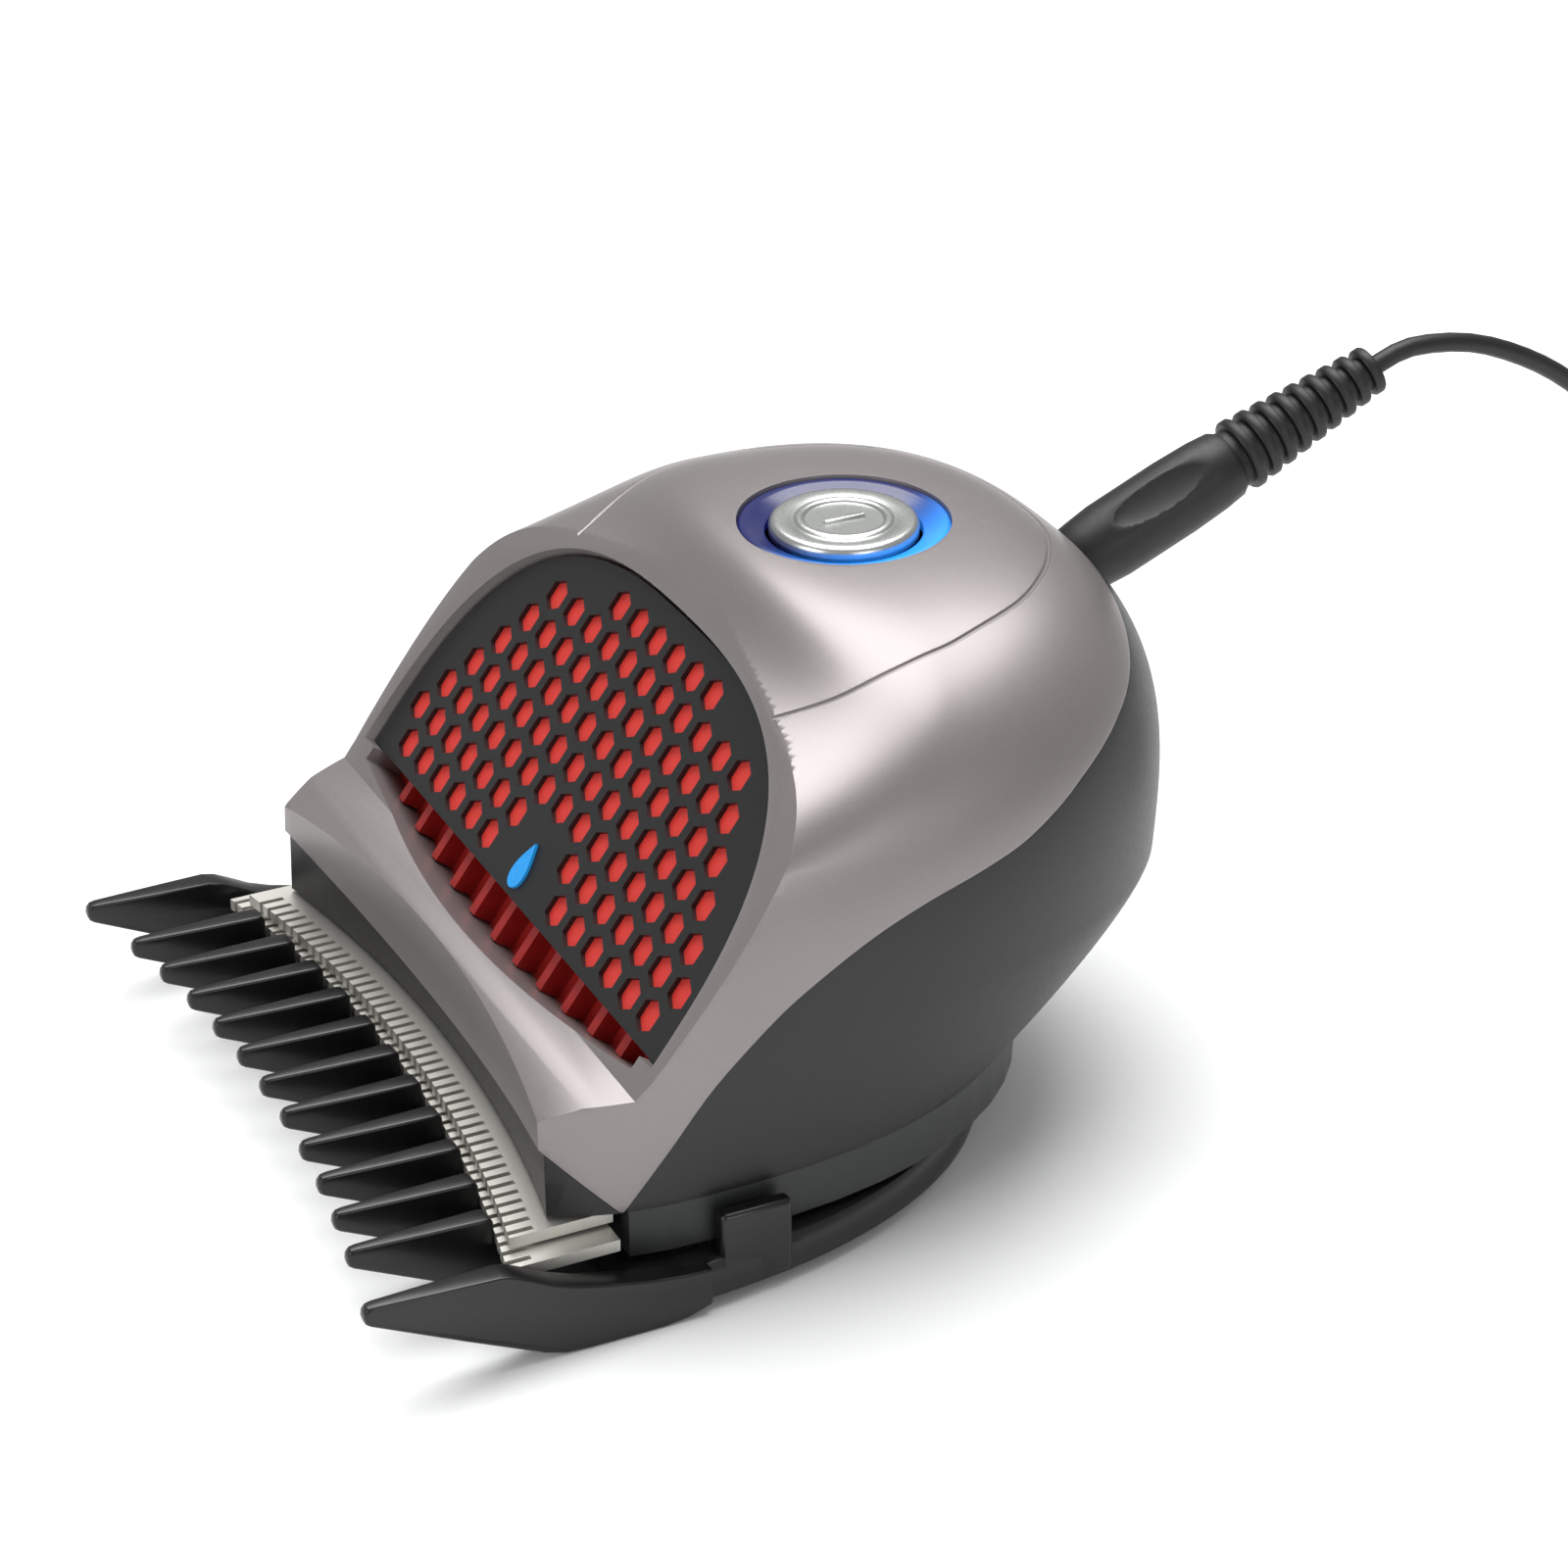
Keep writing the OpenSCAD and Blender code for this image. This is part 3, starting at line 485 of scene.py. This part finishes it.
def make_upper_shell():
    """Silver shell: the dome above the parting line, with the face, slots, ring seat and plug hole cut."""
    shell = dome("silver_shell", silver, count=288, cap=120)
    lift = 0.8
    bottom, top = face_place(0, -2, lift), face_place(0, 45, lift)
    split = smooth_split()
    outline = [(-21, 10.3), (-28.55, 18.1), (-28.3, 19.2), (-27.4, 20.2), (-24, 21.6),
               (bottom.y - 0.9, bottom.z - 0.9), (bottom.y + 0.5, bottom.z + 0.66),
               (top.y, top.z), (80, 90)] + split[:0:-1]
    cut_with(shell, across("silver_side", outline, silver), "INTERSECT")
    cut_with(shell, cavity("silver_cavity", silver))
    cut_with(shell, round_cutter("bumper_arc", BLADE_ARC, 0, -24.35 - BLADE_ARC, 9, 22.2, silver, 720))
    cut_with(shell, face_prism("grille_pocket", grille_outline(0.15), -2.4, 3, silver, 0.6))
    cut_with(shell, face_prism("grille_window", [(x * 0.9, s * 0.9 + 0.2) for x, s in grille_outline()],
                               -8, 0, silver))
    cut_with(shell, face_prism("rinse_slot", slot_outline(), -8, 4, silver, 0.0))
    cut_with(shell, round_cutter("ring_hole", 8.75, 0, BUTTON_Y, 48, 60, silver))
    cut_with(shell, round_cutter("ring_seat", 10.31, 0, BUTTON_Y, 54.2, 60, silver))
    cut_with(shell, plug_rod("plug_hole", 4.4, -16, 14, silver))
    cut_with(shell, crown_crease())
    tidy_mesh(shell)
    return shell


def make_lower_shell():
    """Charcoal shell: the dome below the parting line and down to the base band."""
    shell = dome("charcoal_shell", charcoal, count=288, cap=120)
    split = smooth_split()
    cut_with(shell, across("charcoal_side", split[1:] + [(70, 9), (-20.95, 9)], charcoal), "INTERSECT")
    cut_with(shell, cavity("charcoal_cavity", charcoal))
    cut_with(shell, plug_rod("jack_hole", 4.4, -16, 14, charcoal))
    tidy_mesh(shell)
    return shell


def dome_height(x, y):
    """Height of the dome over a point of its plan."""
    low, high = WAIST_Z, SHELL_TOP - 0.01
    for _ in range(40):
        z = (low + high) / 2
        k = crown(z)
        mid = MID_FRONT + MID_TRAVEL * (z - SILL_Z) / (SHELL_TOP - SILL_Z)
        rear = CROWN_Y + (SHELL_REAR - CROWN_Y) * k ** 0.8
        reach = rear - mid if y > mid else mid - front_at(k)
        across_share, along_share = abs(x) / (SHELL_W / 2 * k), abs(y - mid) / max(reach, 0.01)
        inside = across_share ** FULLNESS + along_share ** FULLNESS < 1
        low, high = (z, high) if inside else (low, z)
    return low


def round_tube(name, line, radius, material, sides=12):
    """A round rod that follows a line of points."""
    rings = []
    for i, p in enumerate(line):
        along = (line[min(i + 1, len(line) - 1)] - line[max(i - 1, 0)]).normalized()
        side = along.cross(Vector((0, 0, 1))).normalized()
        up = side.cross(along)
        rings.append([p + radius * (math.cos(a) * side + math.sin(a) * up)
                      for a in (2 * math.pi * j / sides for j in range(sides))])
    obj = loft(name, rings, material)
    tidy_mesh(obj)
    return obj


def crown_crease():
    """The shallow line that frames the button's panel on the crown."""
    right = [(21.0, -1.5), (22.4, 1.6), (24.4, 6.5), (24.9, 11), (24.4, 15.5), (23.4, 19.5), (20.4, 26.5),
             (16.8, 31), (12.2, 34.6), (6.2, 37.4), (0, 38.3)]
    plan = right + [(-x, y) for x, y in right[-2::-1]]
    line = smooth_line([(x, y, 0) for x, y in plan], 6)
    return round_tube("crease_cutter", [Vector((p.x, p.y, dome_height(p.x, p.y) + 0.06)) for p in line],
                      0.28, silver)


upper = make_upper_shell()
lower = make_lower_shell()
for obj, node, slot in ((upper, "upper_shell", "silver_paint"), (lower, "lower_shell", "charcoal_plastic")):
    apply_modifier(obj, "BEVEL", width=0.3 * MM, segments=3, limit_method="ANGLE",
                   angle_limit=math.radians(40), use_clamp_overlap=True)
    smooth_by_angle(obj, 40)
    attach(obj, "housing")
    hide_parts(node)


# Edge rounding on the CAD pieces that catch the light ---------------------------
def soften(node, width_mm, segments=2, degrees=30):
    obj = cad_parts[node]
    modifier = obj.modifiers.new("edge_round", "BEVEL")
    modifier.width = width_mm * MM
    modifier.segments = segments
    modifier.limit_method = "ANGLE"
    modifier.angle_limit = math.radians(degrees)


# Light ring and button ------------------------------------------------------
def turned(name, profile, place, material, segments=128):
    """A closed profile of radius and height, turned about the upright line through place."""
    n = len(profile)
    verts, faces = [], []
    for k in range(segments):
        a = 2 * math.pi * k / segments
        verts += [(place[0] + r * math.cos(a), place[1] + r * math.sin(a), z) for r, z in profile]
    for k in range(segments):
        j = (k + 1) % segments
        faces += [[k * n + i, j * n + i, j * n + (i + 1) % n, k * n + (i + 1) % n] for i in range(n)]
    obj = mesh_piece(name, verts, faces, material)
    tidy_mesh(obj)
    return obj


ring = turned("blue_light_ring", [(7.62, 54.25), (10.2, 54.25), (10.24, 55.5), (10.1, 55.85), (9.8, 56.0),
                                  (9.2, 55.75), (8.4, 55.35), (7.8, 55.2), (7.62, 55.1)],
              (0, BUTTON_Y), lens_blue_painted_glow)
smooth_by_angle(ring, 50)
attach(ring, "housing")
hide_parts("light_ring")

cap = turned("power_cap", [(0, 54.45), (7.0, 54.45), (7.2, 54.7), (7.24, 55.7), (7.1, 56.05),
                           (6.85, 56.28), (6.5, 56.36), (5.2, 56.3),
                           (5.0, 56.22), (4.85, 56.22), (4.65, 56.4), (4.45, 56.5), (4.1, 56.5), (3.9,
                               56.38), (3.75, 56.2), (0, 56.2)],
             (0, BUTTON_Y), cap_metal)
smooth_by_angle(cap, 40)
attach(cap, "button")
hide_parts("power_button")
deselect()
bpy.ops.mesh.primitive_cube_add(size=1, location=(0, BUTTON_Y * MM, 56.3 * MM))
bar = bpy.context.object
bar.name = "power_bar"
bar.scale = (0.75 * MM, 4.3 * MM, 0.4 * MM)
bpy.ops.object.transform_apply(location=True, rotation=True, scale=True)
apply_modifier(bar, "BEVEL", width=0.15 * MM, segments=3)
bar.data.materials.append(cap_metal)
smooth_by_angle(bar, 40)
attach(bar, "button")

# Drop badge on a rounded plain bulge of the grille ------------------------------
drop_line = []
for i in range(40):
    a = 2 * math.pi * i / 40
    drop_line.append((1.65 * math.sin(a) * math.sin(a / 2) ** 1.2, 3.2 + 2.45 * math.cos(a)))
drop = face_prism("drop_badge_blue", drop_line, -0.25, 0.12, badge_blue_painted_glow)
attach(drop, "housing")
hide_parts("drop_badge")

# Guard comb: fins on a bar, a bowed rail, and a clip each side --------------------
def fin(name, x, shift, thick, outer):
    """One tooth: a side profile with a rounded tip, thinner towards its tip."""
    tip = [(-46.7, 8.2), (-47.1, 8.5), (-47.25, 9.1), (-47.15, 9.7), (-46.8, 10.1), (-46.2, 10.2)]
    if outer:
        back = [(-40, 10.15), (-34.5, 10.1), (-33.2, 9.8), (-31.6, 9.0), (-29.6, 7.9), (-27.2, 7.0),
                (-24, 6.2), (-20, 5.4), (-17, 5.0),
                (-14, 4.9), (-14, 1.1), (-16.5, 0.3), (-19, 0.0), (-26, 0.0), (-28.5, 0.15), (-30.5, 0.75)]
    else:
        back = [(-40, 10.15), (-34.4, 10.1), (-33.75, 10.0), (-33.4, 9.6), (-33.3, 7.4), (-33.0, 6.85),
                (-30, 6.8), (-21.6 - shift, 6.8), (-21.3 - shift, 6.4),
                (-21.3 - shift, 5.0), (-17 - shift, 5.0), (-17 - shift, 0.3), (-17.4 - shift, 0.0), (-26,
                    0.0), (-28.6, 0.1), (-30.2, 0.5)]
    profile = tip + back + [(-38, 4.2)]
    verts = []
    for side in (-1, 1):
        for y, z in profile:
            slim = 0.5 + 0.5 * min(max((y + 47.5) / 12, 0), 1)
            verts.append((x + side * thick / 2 * slim, y + shift, z))
    n = len(profile)
    faces = [list(range(n)), [n + i for i in range(n)][::-1]] + [[(i + 1) % n, i, n + i,
        n + (i + 1) % n] for i in range(n)]
    obj = mesh_piece(name, verts, faces, comb_plastic)
    tidy_mesh(obj)
    apply_modifier(obj, "BEVEL", width=0.28 * MM, segments=3, limit_method="ANGLE",
                   angle_limit=math.radians(50))
    return obj


def block(name, low, high, material, round_mm=0.4):
    deselect()
    bpy.ops.mesh.primitive_cube_add(size=1, location=[(a + b) / 2 * MM for a, b in zip(low, high)])
    obj = bpy.context.object
    obj.name = name
    obj.scale = [(b - a) * MM for a, b in zip(low, high)]
    bpy.ops.object.transform_apply(location=True, rotation=True, scale=True)
    obj.data.materials.append(material)
    apply_modifier(obj, "BEVEL", width=round_mm * MM, segments=3)
    return obj


FIN_PITCH, FIN_THICK = 6.05, 2.2


def comb_rail():
    """The rail that bows round the clipper's rear, from one end of the bar to the other."""
    section = [(0.5, 1.0), (0.1, 1.4), (0.0, 2.2), (0.15, 4.0), (0.6, 4.75), (1.1, 5.0), (3.1, 5.0),
               (3.5, 4.7), (3.6, 4.2), (3.6, 1.4), (3.3, 1.0)]
    rings = []
    for i in range(97):
        a = math.pi * i / 96
        ring = []
        for inset, z in section:
            ring.append(Vector(((40 - inset) * power(math.cos(a), 2 / FULLNESS),
                                -21.25 + (49.5 - inset) * max(math.sin(a), 0) ** (2 / FULLNESS), z)))
        rings.append(ring)
    return loft("comb_rail", rings, comb_plastic)


def make_comb():
    """All of the guard comb as one moulding: fins, bar, rail, heel and two clips."""
    outer_x = 39.15
    pieces = [fin("comb_fin", s * outer_x, 0, 2.6, True) for s in (-1, 1)]
    for i in range(-5, 6):
        x = i * FIN_PITCH
        pieces.append(fin("comb_fin", x, (39 * 39 - x * x) / (2 * BLADE_ARC), FIN_THICK, False))
    pieces += [comb_rail(), block("comb_bar", (-40.2, -21.25, 0), (40.2, -16.05, 5), comb_plastic, 0.5),
               block("comb_heel", (-12, 25.2, 0), (12, 27.8, 4), comb_plastic, 0.5)]
    pieces += [block("comb_clip", (s * 38.3 - 0.9, -12.5, 1.5), (s * 38.3 + 0.9, -5.3, 9.3), comb_plastic,
                     0.6) for s in (-1, 1)]
    comb = pieces[0]
    comb.name = "guard_comb_moulding"
    for other in pieces[1:]:
        tidy_mesh(other)
        cut_with(comb, other, "UNION")
    tidy_mesh(comb)
    return comb


comb = make_comb()
smooth_by_angle(comb, 32)
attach(comb, "comb")
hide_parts("guard_comb")


# Plug: turned overmould with ribbed strain relief and an oval thumb rest ------------
PLUG_LONG, RELIEF_LONG, RIBS = 36.5, 17.5, 9


def make_plug():
    """The turned overmould, laid along the jack's axis, with a hollow for the thumb."""
    step = RELIEF_LONG / RIBS
    profile = [(0, -1.6), (3.1, -1.6), (3.45, -1.2), (3.75, 1.5), (3.98, 4), (4.0, 12), (3.85, 16),
               (3.6, 18.2), (3.2, 18.8)]
    for i in range(RIBS):
        z = 19 + i * step
        core = 3.1 - 1.4 * (i * step) / RELIEF_LONG
        profile += [(core, z), (core, z + step * 0.36), (core + 0.55, z + step * 0.4),
                    (core + 0.7, z + step * 0.5),
                    (core + 0.7, z + step * 0.86), (core + 0.55, z + step * 0.96)]
    profile += [(1.5, 36.3), (1.3, PLUG_LONG), (0, PLUG_LONG)]
    plug = turned("moulded_plug", profile, (0, 0), rubber, 96)
    turn = Vector((0, 0, 1)).rotation_difference(plug_axis)
    for v in plug.data.vertices:
        v.co = turn @ v.co + plug_origin * MM
    deselect()
    bpy.ops.mesh.primitive_uv_sphere_add(segments=48, ring_count=24, radius=1 * MM)
    hollow = bpy.context.object
    upward = Vector((1, 0, 0)).cross(plug_axis)
    facing = (Vector((0.62, 0, 0)) + upward * 0.78).normalized()
    across_plug = plug_axis.cross(facing)
    for v in hollow.data.vertices:
        c = v.co.copy() / MM
        v.co = (plug_origin + plug_axis * (10 + 5.6 * c.x) + across_plug * (2.5 * c.y)
                + facing * (4.15 + 0.75 * c.z)) * MM
    hollow.data.materials.append(rubber)
    tidy_mesh(hollow)
    cut_with(plug, hollow)
    tidy_mesh(plug)
    return plug


plug = make_plug()
smooth_by_angle(plug, 40)
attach(plug, "lead")
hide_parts("plug_body")

for node, width in (("base_frame", 0.35), ("blade_cover", 0.3), ("fixed_blade", 0.1), ("moving_blade", 0.1),
                    ("hex_grille", 0.12), ("usb_body", 0.5), ("usb_shell", 0.1), ("rinse_insert",
                        0.15), ("coil_tie", 0.2)):
    soften(node, width)

# Studio -------------------------------------------------------------------------
deselect()
bpy.ops.mesh.primitive_plane_add(size=6, location=(0, 0, -0.00002))
floor = bpy.context.object
floor.name = "floor"
floor_paint = bpy.data.materials.new("studio_floor")
floor_paint.use_nodes = True
floor_shader = floor_paint.node_tree.nodes["Principled BSDF"]
floor_shader.inputs["Base Color"].default_value = (0.93, 0.935, 0.94, 1)
floor_shader.inputs["Roughness"].default_value = 0.55
floor.data.materials.append(floor_paint)

world = bpy.data.worlds.new("studio")
bpy.context.scene.world = world
world.use_nodes = True
sky = world.node_tree.nodes["Background"]
sky.inputs[0].default_value = (1, 1, 1, 1)
sky.inputs[1].default_value = 0.38
white = world.node_tree.nodes.new("ShaderNodeBackground")
white.inputs[1].default_value = 1.0
rays = world.node_tree.nodes.new("ShaderNodeLightPath")
choose = world.node_tree.nodes.new("ShaderNodeMixShader")
world.node_tree.links.new(rays.outputs["Is Camera Ray"], choose.inputs[0])
world.node_tree.links.new(sky.outputs[0], choose.inputs[1])
world.node_tree.links.new(white.outputs[0], choose.inputs[2])
world.node_tree.links.new(choose.outputs[0], world.node_tree.nodes["World Output"].inputs[0])


def softbox(name, place, aim, width, depth, watts):
    light = bpy.data.lights.new(name, "AREA")
    light.shape, light.size, light.size_y, light.energy = "RECTANGLE", width, depth, watts
    lamp = bpy.data.objects.new(name, light)
    lamp.location = place
    lamp.rotation_euler = (Vector(place) - Vector(aim)).to_track_quat("Z", "Y").to_euler()
    bpy.context.scene.collection.objects.link(lamp)
    return lamp


centre = (0, 0.01, 0.03)
softbox("top_box", (-0.25, 0.15, 0.9), centre, 0.8, 0.8, 12)
softbox("front_box", (0.2, -0.95, 0.45), centre, 0.5, 0.4, 3)
softbox("side_box", (0.9, 0.1, 0.35), centre, 0.4, 0.3, 1.2)

scene = bpy.context.scene
scene.view_settings.view_transform = "Standard"
